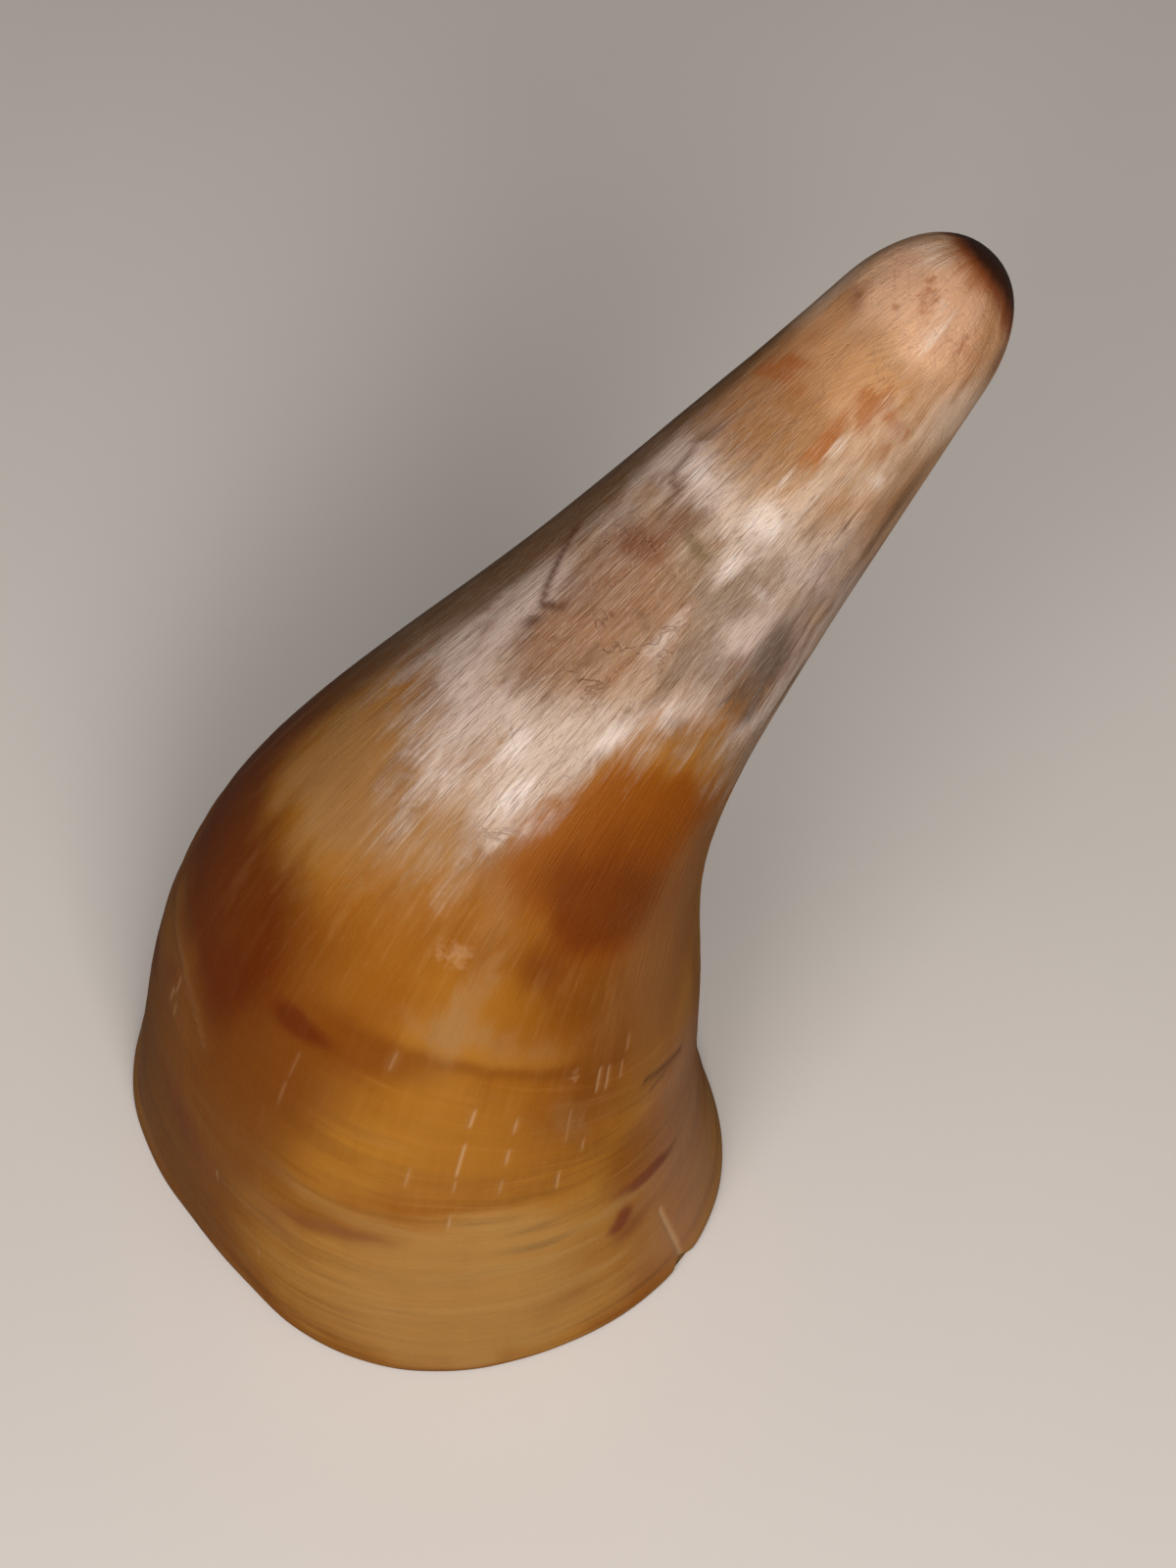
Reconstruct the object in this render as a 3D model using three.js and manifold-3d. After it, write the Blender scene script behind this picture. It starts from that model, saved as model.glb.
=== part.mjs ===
// A buffalo horn: the hollow outer sheath of one horn, cut level at its root and
// standing on that cut rim. Millimetres, +Z up. From the rim the sheath rises
// almost straight, bends over towards +X and +Y, and narrows to a blunt round
// tip. The hollow that held the bony core is open underneath and ends, rounded,
// inside the bend; above it the horn is solid. The origin is under the middle
// of the horn's bounding box, on the plane of the rim.

import Module from 'manifold-3d';
import * as THREE from 'three';
import { LoftGeometry } from 'three/addons/geometries/LoftGeometry.js';
import { mergeVertices } from 'three/addons/utils/BufferGeometryUtils.js';

const { clamp, degToRad, lerp, smoothstep } = THREE.MathUtils;

// The centreline, from the middle of the rim to the tip. Its lean is measured
// from upright, and a share of 0 is the rim and 1 is the tip.
const CENTRELINE_LENGTH = 179;
const ROOT_LEAN = degToRad(-2);
const TIP_LEAN = degToRad(46);
const BEND_END_SHARE = 0.64;
const LEAN_HEADING = degToRad(30);
const LEVEL_SECTIONS_SHARE = 0.15;
const WALK_STEPS = 200;

// The body: a straight taper with one broad swelling above the rim. The section
// is an ellipse, whose depth is a share of its width.
const TAPER_ROOT_RADIUS = 40;
const TAPER_TIP_RADIUS = 10.2;
const SWELL_HEIGHT = 7.5;
const SWELL_SHARE = 0.31;
const SWELL_SPREAD = 0.2;
const ROOT_DEPTH_RATIO = 1.1;
const TIP_DEPTH_RATIO = 0.9;
const DEPTH_CHANGE_SHARE = 0.5;
const SECTION_TURN = degToRad(34);

// The rim: a rounded outline with two long sides, three soft corners and four
// softer ones, which fades into the body's ellipse going up.
const RIM_RADIUS = 44.4;
const RIM_OVAL = 3.2;
const RIM_OVAL_TURN = degToRad(-33);
const RIM_THREE_CORNERS = 0.85;
const RIM_THREE_TURN = degToRad(43);
const RIM_FOUR_CORNERS = 1.3;
const RIM_FOUR_TURN = degToRad(-17);
const RIM_FADE_HEIGHT = 20;
const RIM_FADE_POWER = 1.3;
const RIM_EDGE_ROUNDING = 0.5;

// The tip's dome.
const TIP_DOME_LENGTH = 14.6;
const TIP_DOME_POWER = 2.3;
const TIP_DOME_END = 0.998;

// The hollow, as a share of the outer section at the same place.
const HOLLOW_END_SHARE = 0.6;
const HOLLOW_RIM_SCALE = 0.9;
const HOLLOW_TAPER_POWER = 3;
const HOLLOW_END_POWER = 0.5;
const HOLLOW_END = 0.995;
const CUT_BELOW_RIM = 3;

// How finely the surface is faceted.
const POINTS_AROUND = 60;
const BODY_RINGS = 22;
const DOME_RINGS = 6;
const HOLLOW_RINGS = 11;
const WELD_DISTANCE = 0.001;

const HORN_COLOUR = 0x9a6a3c;
const HORN_ROUGHNESS = 0.38;

function leanAt(share) {
  return lerp(ROOT_LEAN, TIP_LEAN, smoothstep(share, 0, BEND_END_SHARE));
}

// Walks up the centreline in short straight steps.
function centreAt(share) {
  const stride = share * CENTRELINE_LENGTH / WALK_STEPS;
  let outwards = 0;
  let upwards = 0;
  for (let step = 0; step < WALK_STEPS; step += 1) {
    const lean = leanAt(share * (step + 0.5) / WALK_STEPS);
    outwards += Math.sin(lean) * stride;
    upwards += Math.cos(lean) * stride;
  }
  const x = outwards * Math.cos(LEAN_HEADING);
  const y = outwards * Math.sin(LEAN_HEADING);
  return new THREE.Vector3(x, y, upwards);
}

function bodyRadius(angle, share) {
  const swell = SWELL_HEIGHT * Math.exp(-(((share - SWELL_SHARE) / SWELL_SPREAD) ** 2));
  const width = lerp(TAPER_ROOT_RADIUS, TAPER_TIP_RADIUS, share) + swell;
  const change = smoothstep(share, 0, DEPTH_CHANGE_SHARE);
  const depth = width * lerp(ROOT_DEPTH_RATIO, TIP_DEPTH_RATIO, change);
  const turned = angle - SECTION_TURN;
  return 1 / Math.hypot(Math.cos(turned) / width, Math.sin(turned) / depth);
}

function rimRadius(angle) {
  const oval = RIM_OVAL * Math.cos(2 * (angle - RIM_OVAL_TURN));
  const three = RIM_THREE_CORNERS * Math.cos(3 * (angle - RIM_THREE_TURN));
  const four = RIM_FOUR_CORNERS * Math.cos(4 * (angle - RIM_FOUR_TURN));
  return RIM_RADIUS + oval + three + four;
}

function outerRadius(angle, share) {
  const height = Math.max(share, 0) * CENTRELINE_LENGTH;
  const rimShare = Math.exp(-((height / RIM_FADE_HEIGHT) ** RIM_FADE_POWER));
  const domeStart = CENTRELINE_LENGTH - TIP_DOME_LENGTH;
  const domeShare = clamp((height - domeStart) / TIP_DOME_LENGTH, 0, 1);
  const dome = (1 - domeShare ** TIP_DOME_POWER) ** (1 / TIP_DOME_POWER);
  return dome * lerp(bodyRadius(angle, share), rimRadius(angle), rimShare);
}

// One closed ring of points. The rings lie level at the rim and soon turn square
// to the centreline. radiusAt gives the distance from the centreline at an angle.
function ring(share, radiusAt) {
  const centre = centreAt(share);
  const tilt = leanAt(share) * smoothstep(share, 0, LEVEL_SECTIONS_SHARE);
  const points = [];
  for (let i = 0; i < POINTS_AROUND; i += 1) {
    const angle = 2 * Math.PI * i / POINTS_AROUND;
    const radius = radiusAt(angle);
    const point = new THREE.Vector3(radius * Math.cos(angle - LEAN_HEADING), 0, 0);
    point.y = radius * Math.sin(angle - LEAN_HEADING);
    point.applyAxisAngle(new THREE.Vector3(0, 1, 0), tilt);
    point.applyAxisAngle(new THREE.Vector3(0, 0, 1), LEAN_HEADING);
    points.push(point.add(centre));
  }
  return points;
}

function outerSurface() {
  const domeStart = 1 - TIP_DOME_LENGTH / CENTRELINE_LENGTH;
  const rings = [ring(0, (angle) => rimRadius(angle) - RIM_EDGE_ROUNDING)];
  const edge = RIM_EDGE_ROUNDING / CENTRELINE_LENGTH;
  for (let i = 0; i <= BODY_RINGS; i += 1) {
    const share = lerp(edge, domeStart, i / BODY_RINGS);
    rings.push(ring(share, (angle) => outerRadius(angle, share)));
  }
  for (let i = 1; i <= DOME_RINGS; i += 1) {
    const along = TIP_DOME_END * Math.sin(Math.PI / 2 * i / DOME_RINGS);
    const share = lerp(domeStart, 1, along);
    rings.push(ring(share, (angle) => outerRadius(angle, share)));
  }
  return new LoftGeometry(rings, { capStart: true, capEnd: true });
}

// The hollow's surface starts below the rim, so that it cuts the rim cleanly.
function hollowSurface() {
  const start = ring(0, (angle) => HOLLOW_RIM_SCALE * rimRadius(angle));
  const below = start.map((point) => point.clone().setZ(-CUT_BELOW_RIM));
  const rings = [below, start];
  for (let i = 1; i <= HOLLOW_RINGS; i += 1) {
    const along = HOLLOW_END * Math.sin(Math.PI / 2 * i / HOLLOW_RINGS);
    const share = along * HOLLOW_END_SHARE;
    const narrowing = (1 - along ** HOLLOW_TAPER_POWER) ** HOLLOW_END_POWER;
    const scale = HOLLOW_RIM_SCALE * narrowing;
    rings.push(ring(share, (angle) => scale * outerRadius(angle, share)));
  }
  return new LoftGeometry(rings, { capStart: true, capEnd: true });
}

const wasm = await Module();
wasm.setup();

function toSolid(loft) {
  const skin = new THREE.BufferGeometry();
  skin.setAttribute('position', loft.attributes.position);
  skin.setIndex(loft.index);
  const merged = mergeVertices(skin, WELD_DISTANCE);
  return new wasm.Manifold(new wasm.Mesh({
    numProp: 3,
    vertProperties: merged.attributes.position.array,
    triVerts: new Uint32Array(merged.index.array),
  }));
}

function toGeometry(solid) {
  const mesh = solid.getMesh();
  const geometry = new THREE.BufferGeometry();
  geometry.setAttribute('position', new THREE.BufferAttribute(mesh.vertProperties, 3));
  geometry.setIndex(new THREE.BufferAttribute(mesh.triVerts, 1));
  geometry.computeVertexNormals();
  return geometry;
}

const sheath = toSolid(outerSurface()).subtract(toSolid(hollowSurface()));
const sheathGeometry = toGeometry(sheath);

// Moves the origin under the middle of the horn.
sheathGeometry.computeBoundingBox();
const middle = sheathGeometry.boundingBox.getCenter(new THREE.Vector3());
sheathGeometry.translate(-middle.x, -middle.y, 0);

const horn = new THREE.Mesh(
  sheathGeometry,
  new THREE.MeshStandardMaterial({
    color: HORN_COLOUR,
    roughness: HORN_ROUGHNESS,
    metalness: 0,
  }),
);
horn.name = 'horn';

const buffaloHorn = new THREE.Group();
buffaloHorn.name = 'buffalo_horn';
buffaloHorn.add(horn);

export default buffaloHorn;
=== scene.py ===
# A polished buffalo horn standing on its cut rim: the fine surface, its material,
# a pale floor, soft lights and the camera. Blender units are metres. The horn's
# own shape is worked out in millimetres and brought to metres at the end.
#
# A place on the horn's skin is given as millimetres up its centreline and degrees
# round it, where -90 is the middle of the side that the camera looks at.
import math

import bpy
import numpy as np
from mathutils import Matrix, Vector, noise


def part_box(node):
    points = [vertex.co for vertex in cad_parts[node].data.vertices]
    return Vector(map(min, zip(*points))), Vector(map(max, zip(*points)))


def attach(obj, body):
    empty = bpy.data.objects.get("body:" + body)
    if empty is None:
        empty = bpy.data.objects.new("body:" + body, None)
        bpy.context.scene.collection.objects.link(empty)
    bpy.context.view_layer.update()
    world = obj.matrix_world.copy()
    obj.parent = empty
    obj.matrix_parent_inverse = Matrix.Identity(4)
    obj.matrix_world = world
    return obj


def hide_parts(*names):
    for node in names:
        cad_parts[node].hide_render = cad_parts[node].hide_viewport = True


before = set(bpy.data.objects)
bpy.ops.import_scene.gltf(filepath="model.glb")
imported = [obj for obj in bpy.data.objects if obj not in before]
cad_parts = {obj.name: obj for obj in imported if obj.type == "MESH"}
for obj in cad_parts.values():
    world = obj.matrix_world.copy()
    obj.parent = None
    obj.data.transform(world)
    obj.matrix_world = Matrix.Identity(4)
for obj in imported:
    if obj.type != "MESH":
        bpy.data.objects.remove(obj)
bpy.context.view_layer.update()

MM = 0.001
radians = math.radians

# ---- the horn's shape, by the same formulas and sizes as the solid's ----
# The centreline. Its lean is measured from upright, and a share of 0 is the rim and 1 is the tip.
LENGTH = 179.0
ROOT_LEAN = radians(-2)
TIP_LEAN = radians(46)
BEND_END_SHARE = 0.64
LEAN_HEADING = radians(30)
LEVEL_SECTIONS_SHARE = 0.15
WALK_STEPS = 1000

# The body: a straight taper with one broad swelling. Its section is an ellipse, whose depth is a
# share of its width.
TAPER_ROOT_RADIUS = 40.0
TAPER_TIP_RADIUS = 10.2
SWELL_HEIGHT = 7.5
SWELL_SHARE = 0.31
SWELL_SPREAD = 0.2
ROOT_DEPTH_RATIO = 1.1
TIP_DEPTH_RATIO = 0.9
DEPTH_CHANGE_SHARE = 0.5
SECTION_TURN = radians(34)

# The rim's rounded outline, which fades into the body going up. Each wave round it is given as
# waves in a turn, height in mm and the angle of a crest.
RIM_RADIUS = 44.4
RIM_WAVES = [(2, 3.2, radians(-33)), (3, 0.85, radians(43)), (4, 1.3, radians(-17))]
RIM_FADE_HEIGHT = 20.0
RIM_FADE_POWER = 1.3

# The tip's dome, and the hollow as a share of the outer section at the same place.
DOME_LENGTH = 14.6
DOME_POWER = 2.3
HOLLOW_END_SHARE = 0.6
HOLLOW_RIM_SCALE = 0.9
HOLLOW_TAPER_POWER = 3
HOLLOW_END_POWER = 0.5


def smoothstep(x, low, high):
    t = np.clip((x - low) / (high - low), 0.0, 1.0)
    return t * t * (3.0 - 2.0 * t)


def between(start, end, share):
    return start + (end - start) * share


def lean_at(share):
    return between(ROOT_LEAN, TIP_LEAN, smoothstep(share, 0.0, BEND_END_SHARE))


def body_radius(angle, share):
    swell = SWELL_HEIGHT * np.exp(-(((share - SWELL_SHARE) / SWELL_SPREAD) ** 2))
    width = between(TAPER_ROOT_RADIUS, TAPER_TIP_RADIUS, share) + swell
    change = smoothstep(share, 0.0, DEPTH_CHANGE_SHARE)
    depth = width * between(ROOT_DEPTH_RATIO, TIP_DEPTH_RATIO, change)
    turned = angle - SECTION_TURN
    return 1.0 / np.hypot(np.cos(turned) / width, np.sin(turned) / depth)


def rim_radius(angle):
    waves = [height * np.cos(count * (angle - crest)) for count, height, crest in RIM_WAVES]
    return RIM_RADIUS + sum(waves)


def outer_radius(angle, share):
    height = share * LENGTH
    rim = np.exp(-((height / RIM_FADE_HEIGHT) ** RIM_FADE_POWER))
    dome_share = np.clip((height - (LENGTH - DOME_LENGTH)) / DOME_LENGTH, 0.0, 1.0)
    dome = (1.0 - dome_share ** DOME_POWER) ** (1 / DOME_POWER)
    return dome * between(body_radius(angle, share), rim_radius(angle), rim)


walk = np.linspace(0.0, 1.0, WALK_STEPS + 1)
walk_lean = lean_at((walk[1:] + walk[:-1]) / 2)
walk_out = np.concatenate([[0.0], np.cumsum(np.sin(walk_lean))]) * LENGTH / WALK_STEPS
walk_up = np.concatenate([[0.0], np.cumsum(np.cos(walk_lean))]) * LENGTH / WALK_STEPS


def place(angle, share, radius):
    """Points at a distance from the centreline, in millimetres, as an array of x, y, z."""
    out = np.interp(share, walk, walk_out)
    up = np.interp(share, walk, walk_up)
    tilt = lean_at(share) * smoothstep(share, 0.0, LEVEL_SECTIONS_SHARE)
    a = radius * np.cos(angle - LEAN_HEADING)
    b = radius * np.sin(angle - LEAN_HEADING)
    ahead = a * np.cos(tilt) + out
    x = ahead * math.cos(LEAN_HEADING) - b * math.sin(LEAN_HEADING)
    y = ahead * math.sin(LEAN_HEADING) + b * math.cos(LEAN_HEADING)
    return np.stack([x, y, up - a * np.sin(tilt)], -1)


# ---- marks cut into the surface ----
# Short pale ticks: millimetres up, degrees round, half length in mm, strength.
TICKS = [
    (55.3, -85.2, 1.0, 1.0), (49.0, -85.0, 2.6, 1.0), (44.6, -84.8, 0.9, 0.5), (38.0, -84.3, 1.1, 0.7),
    (54.4, -75.2, 0.8, 0.9), (49.4, -75.2, 1.0, 0.8), (44.2, -75.2, 1.2, 0.5), (45.5, -94.5, 1.3, 0.5),
    (43.0, -62.4, 1.3, 0.8), (53.0, -62.3, 2.8, 0.3), (48.4, -57.4, 0.9, 0.6), (59.5, -56.3, 1.9, 0.8),
    (59.3, -53.5, 1.9, 0.8), (59.6, -49.2, 1.4, 0.5), (64.0, -48.4, 1.3, 0.5), (60.3, -105.6, 1.1, 0.4),
    (46.8, -160.6, 1.2, 0.6), (44.6, -162.0, 0.9, 0.7), (44.0, -159.0, 0.7, 0.5),
    (54.0, -123.8, 1.6, 0.2), (50.0, -124.0, 1.4, 0.25), (27.5, -137.0, 1.1, 0.5), (18.0, -125.0, 1.3, 0.4),
]
TICK_WIDTH = 0.24
TICK_DEPTH = 0.12

# Drawn lines, as points of millimetres up and degrees round, with their widths and depths in mm.
CRACK = [(18.3, -35.7), (9.1, -34.3), (0.0, -33.2)]
CRACK_WIDTH = 0.45
CRACK_DEPTH = 0.22
CREASE = [(51.5, -180), (50.3, -170), (50.2, -162), (48.4, -152), (46, -146)]
CREASE_WIDTH = 0.6
CREASE_HEIGHT = 0.16
GOUGE = [(53.6, -39), (52.6, -31), (51.4, -23)]
GOUGE_WIDTH = 0.8
SHORT_GOUGE = [(50.9, -36.5), (51.3, -31)]
SHORT_GOUGE_WIDTH = 0.5
GOUGE_DEPTH = 0.3

# Oval marks: millimetres up, degrees round, half height and half width in mm.
DENT = (73.8, -105.7, 1.5, 2.4)
DENT_EDGE = 0.35
DENT_DEPTH = 0.16
DENT_ROUGHNESS = 0.12
KNOT = (61.2, -63.6, 1.1, 1.0)
KNOT_DEPTH = 0.15
RIM_NOTCH = (0.0, -33.3, 2.2, 1.5)
RIM_NOTCH_DEPTH = 1.3

# Pores near the tip: millimetres up, degrees round, half size in mm.
PORES = [
    (173.1, -134.7, 0.7), (171.6, -129, 1.0), (172.4, -122, 0.8), (170.6, -123, 0.9), (169.6, -116, 0.8),
    (168.9, -98, 0.8), (170.2, -86, 0.8), (168.8, -84, 0.6), (171.5, -99, 0.6), (168, -137, 0.6),
]
PORE_DEPTH = 0.22

# ---- the mesh's columns, finer at the ticks and the crack ----
SEAM = -270.0
EVEN_COLUMNS = 264
COLUMNS_ACROSS_TICK = (-0.5, -0.22, 0.0, 0.22, 0.5)
CRACK_COLUMNS = np.arange(-36.6, -32.2, 0.4)
CLEAR_OF_FINE_COLUMNS = 0.3
LEAST_STEP_ROUND = 0.05

tick_degrees = sorted({tick[1] for tick in TICKS})
fine_columns = [d + step for d in tick_degrees for step in COLUMNS_ACROSS_TICK]
fine_columns += list(CRACK_COLUMNS)
even_columns = SEAM + np.arange(EVEN_COLUMNS) * 360.0 / EVEN_COLUMNS
clear = [np.abs(np.array(fine_columns) - d).min() > CLEAR_OF_FINE_COLUMNS for d in even_columns]
column_degrees = np.sort(np.concatenate([even_columns[clear], fine_columns]))
column_degrees = column_degrees[np.append(True, np.diff(column_degrees) > LEAST_STEP_ROUND)]

# ---- the mesh's rings ----
# They run from the end of the hollow, down the inside, over the rim and up the outside to the tip.
INNER_RINGS = 30
INNER_REACH = 0.995
INNER_RINGS_AT_RIM = [0.4, 0.1]
# Across the level cut, from the hollow outwards: a share of the rim's radius, and mm added to it.
CUT_RINGS = [(HOLLOW_RIM_SCALE, 0.25), (0.93, 0.0), (0.965, 0.0), (1.0, -0.75)]
# The cut's rounded outer edge: mm up, and mm taken off the radius.
EDGE_RINGS = [(0.12, 0.42), (0.4, 0.16), (0.8, 0.03), (1.3, 0.0), (2.0, 0.0)]
# Stretches of even rings up the root: from, to and step in mm. The highest ticks are in the finest.
ROOT_RINGS = [(2.6, 12.0, 0.5), (12.0, 57.5, 0.85), (57.5, 64.0, 0.4)]
ROOT_TOP = 64.0
BODY_RINGS = 122
DOME_RINGS = 20
DOME_REACH = 0.9985

inner_along = INNER_REACH * np.sin(np.linspace(1.0, 0.02, INNER_RINGS) * math.pi / 2)
inner_mm = np.append(inner_along * HOLLOW_END_SHARE * LENGTH, INNER_RINGS_AT_RIM)
cut_mm = np.zeros(len(CUT_RINGS))
edge_mm = [up for up, _ in EDGE_RINGS]
root_mm = np.concatenate([np.arange(*stretch) for stretch in ROOT_RINGS])
body_mm = np.linspace(ROOT_TOP, LENGTH - DOME_LENGTH, BODY_RINGS)
dome_along = DOME_REACH * np.sin(np.linspace(0.0, 1.0, DOME_RINGS + 1)[1:] * math.pi / 2)
dome_mm = LENGTH - DOME_LENGTH * (1.0 - dome_along)

along_mm = np.concatenate([inner_mm, cut_mm, edge_mm, root_mm, body_mm, dome_mm])
share = along_mm / LENGTH
inner_count = len(inner_mm)
outer_first = inner_count + len(CUT_RINGS)

# Arrays with a row for each ring and a column for each direction.
DEGREES, SHARES = np.meshgrid(column_degrees, share)
ANGLES = np.radians(DEGREES)
UP = SHARES * LENGTH
COS, SIN = np.cos(ANGLES), np.sin(ANGLES)
OUTSIDE = np.zeros_like(SHARES)
OUTSIDE[outer_first:] = 1.0
EVEN_ANGLES = np.linspace(0.0, 2 * math.pi, 72, endpoint=False)[None, :]
mean_radius = np.maximum(outer_radius(EVEN_ANGLES, share[:, None]).mean(axis=1), 1.0)
DEGREE_MM = np.broadcast_to((mean_radius * math.pi / 180)[:, None], SHARES.shape)

hollow_along = np.clip(SHARES / HOLLOW_END_SHARE, 0.0, 1.0)
narrowing = (1 - hollow_along ** HOLLOW_TAPER_POWER) ** HOLLOW_END_POWER
radius = outer_radius(ANGLES, SHARES)
radius[:inner_count] *= (HOLLOW_RIM_SCALE * narrowing)[:inner_count]
for ring, (scale, more) in enumerate(CUT_RINGS, inner_count):
    radius[ring] = rim_radius(ANGLES[0]) * scale + more
for ring, (_, less) in enumerate(EDGE_RINGS, outer_first):
    radius[ring] -= less


def wander(around, heights, offset=0.0):
    """Smooth noise over the skin, about -1 to 1, with about as many waves round it as around says."""
    flat = np.stack([(COS * around).ravel() + offset, (SIN * around).ravel(), heights.ravel()], -1)
    values = [noise.noise(Vector(p)) for p in flat]
    return np.array(values).reshape(SHARES.shape)


# Wandering, in mm, that makes a patch's outline uneven and feathers it along the fibres.
FEATHER = 6.0 * wander(7.0, UP / 50.0, 31.0) + 2.2 * wander(19.0, UP / 30.0, 37.0)
SWAY = 3.0 * wander(2.4, UP / 15.0, 43.0) + 1.6 * wander(5.0, UP / 7.0, 47.0)
# The height of the growth bands, which dip to one side and sway a little.
BAND = UP + 2.5 * np.cos(ANGLES + radians(20)) + 0.25 * SWAY


def line_distance(points):
    """Distance in mm over the skin to a drawn line."""
    best = np.full(SHARES.shape, np.inf)
    for (s0, d0), (s1, d1) in zip(points[:-1], points[1:]):
        degree_mm = np.interp(s0, along_mm[inner_count:], mean_radius[inner_count:]) * math.pi / 180
        dx = (DEGREES - d0) * DEGREE_MM
        dy = UP - s0
        ex = (d1 - d0) * degree_mm
        ey = s1 - s0
        t = np.clip((dx * ex + dy * ey) / (ex * ex + ey * ey), 0.0, 1.0)
        best = np.minimum(best, np.hypot(dx - t * ex, dy - t * ey))
    return best


def line(points, width):
    """A drawn line as a mask, 1 along its middle."""
    return np.exp(-((line_distance(points) / width) ** 2))


def patch(s, deg, high, wide, weight=1.0, slant=0.0, feather=0.5):
    """A soft oval patch. high and wide are half lengths in mm, and slant is in degrees. A patch under
    5 mm wanders less from its place and outline than a large one."""
    loose = 0.7 * min(1.0, min(high, wide) / 5.0)
    dx = (DEGREES - deg) * DEGREE_MM + loose * SWAY
    dy = UP - s + loose * (feather * FEATHER + SWAY)
    c, n = math.cos(radians(slant)), math.sin(radians(slant))
    across = (dx * c + dy * n) / wide
    up = (dy * c - dx * n) / high
    return weight * np.exp(-(across ** 2 + up ** 2))


def patches(rows, feather=0.5):
    total = sum(patch(*row, feather=feather) for row in rows)
    return np.clip(total, 0.0, 1.0)


# ---- relief, in mm: growth bands on the root, broad lumps all over, flutes and ripples in the fibres ----
on_root = 1.0 - smoothstep(UP, 50.0, 78.0)
relief = 0.11 * wander(0.9, BAND * 0.3) * on_root
relief += 0.04 * wander(1.6, BAND * 0.9, 7.0) * on_root
relief += 0.45 * wander(1.3, UP / 34.0, 3.0) * smoothstep(UP, 0.0, 8.0)
relief += 0.10 * wander(4.5, UP / 50.0, 11.0) * smoothstep(UP, 70, 110)
relief += 0.06 * wander(7.0, UP / 6.0, 13.0) * smoothstep(UP, 85, 105)

# The crease, the gouges, the dent with its raised edge, the knot, and the crack with its notch in the rim.
crease = line(CREASE, CREASE_WIDTH)
relief += CREASE_HEIGHT * crease
gouge = np.maximum(line(GOUGE, GOUGE_WIDTH), 0.6 * line(SHORT_GOUGE, SHORT_GOUGE_WIDTH))
relief -= GOUGE_DEPTH * gouge
dent = patch(*DENT, feather=0.0)
relief += DENT_EDGE * dent * (1 - dent) - DENT_DEPTH * dent
relief += DENT_ROUGHNESS * dent * wander(40.0, UP / 0.9, 17.0)
knot = patch(*KNOT, feather=0.0)
relief -= KNOT_DEPTH * knot
crack = line(CRACK, CRACK_WIDTH)
relief -= CRACK_DEPTH * crack
relief -= RIM_NOTCH_DEPTH * patch(*RIM_NOTCH, feather=0.0)

ticks = np.zeros_like(SHARES)
for s, d, half, strength in TICKS:
    across = np.exp(-((((DEGREES - d) * DEGREE_MM) / TICK_WIDTH) ** 2))
    ticks = np.maximum(ticks, strength * across * smoothstep(half + 0.5 - np.abs(UP - s), 0.0, 0.8))
relief -= TICK_DEPTH * ticks
for s, d, size in PORES:
    relief -= PORE_DEPTH * patch(s, d, size, size, feather=0.1)

# The rim isn't cut quite evenly, and the tip stays smooth.
rim_wave = 0.3 * wander(4.0, np.zeros_like(UP), 21.0) * np.exp(-UP / 5.0)
relief += rim_wave * np.minimum(1.0, UP / 0.4 + 0.6)
relief *= smoothstep(LENGTH - UP, 0.0, 3.0)
radius += relief * OUTSIDE

# The solid's origin is under the middle of its box, so the surface is moved there.
surface = place(ANGLES, SHARES, radius)
low, high = surface.reshape(-1, 3).min(0), surface.reshape(-1, 3).max(0)
box_low, box_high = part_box("horn")
shift = (np.array(box_low) + np.array(box_high)) / 2 / MM - (low + high) / 2
shift[2] = 0.0
surface = (surface + shift) * MM

# ---- the mesh: a quad between each two rings and columns, and a face that closes each end ----
rows, columns = SHARES.shape
index = np.arange(rows * columns).reshape(rows, columns)
turned = np.roll(index, -1, axis=1)
quads = np.stack([index[:-1], turned[:-1], turned[1:], index[1:]], -1).reshape(-1, 4)
faces = [tuple(map(int, q)) for q in quads]
faces.append(tuple(int(i) for i in index[0][::-1]))
faces.append(tuple(int(i) for i in index[-1]))
mesh = bpy.data.meshes.new("horn_skin")
mesh.from_pydata(surface.reshape(-1, 3).tolist(), [], faces)
mesh.validate()
mesh.polygons.foreach_set("use_smooth", [True] * len(mesh.polygons))


def give(name, values):
    """Stores a number for each point of the mesh, which the material reads by its name."""
    attribute = mesh.attributes.new(name, "FLOAT", "POINT")
    attribute.data.foreach_set("value", np.ascontiguousarray(values, np.float32).ravel())


# The fibres' own space: a straight cylinder of one radius, in mm.
GRAIN_RADIUS = 30.0
grain = np.stack([GRAIN_RADIUS * COS, GRAIN_RADIUS * SIN, UP], -1)
vector = mesh.attributes.new("grain", "FLOAT_VECTOR", "POINT")
vector.data.foreach_set("vector", np.ascontiguousarray(grain, np.float32).ravel())

# ---- where each tone of the horn lies ----
# The height where the clear amber root gives way to the pale fibres, round the horn: degrees, mm.
EDGE = [
    (-270, 88), (-215, 80), (-183, 87), (-165, 92), (-149, 88), (-135, 87), (-121, 87), (-111, 88),
    (-104, 95), (-98, 103), (-91, 108), (-80, 111), (-70, 112), (-60, 112), (-50, 109), (-30, 103),
    (0, 100), (90, 88),
]
past_edge = UP - np.interp(DEGREES, *zip(*EDGE)) + 0.8 * FEATHER + SWAY
give("past_edge", past_edge / 10.0)
give("band", BAND)
give("along", UP)
give("inside", 1.0 - OUTSIDE)
give("crease", np.clip(crease * 0.16 + crack + ticks, 0, 1))
give("dent", np.clip(dent + 0.8 * knot, 0, 1))

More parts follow.
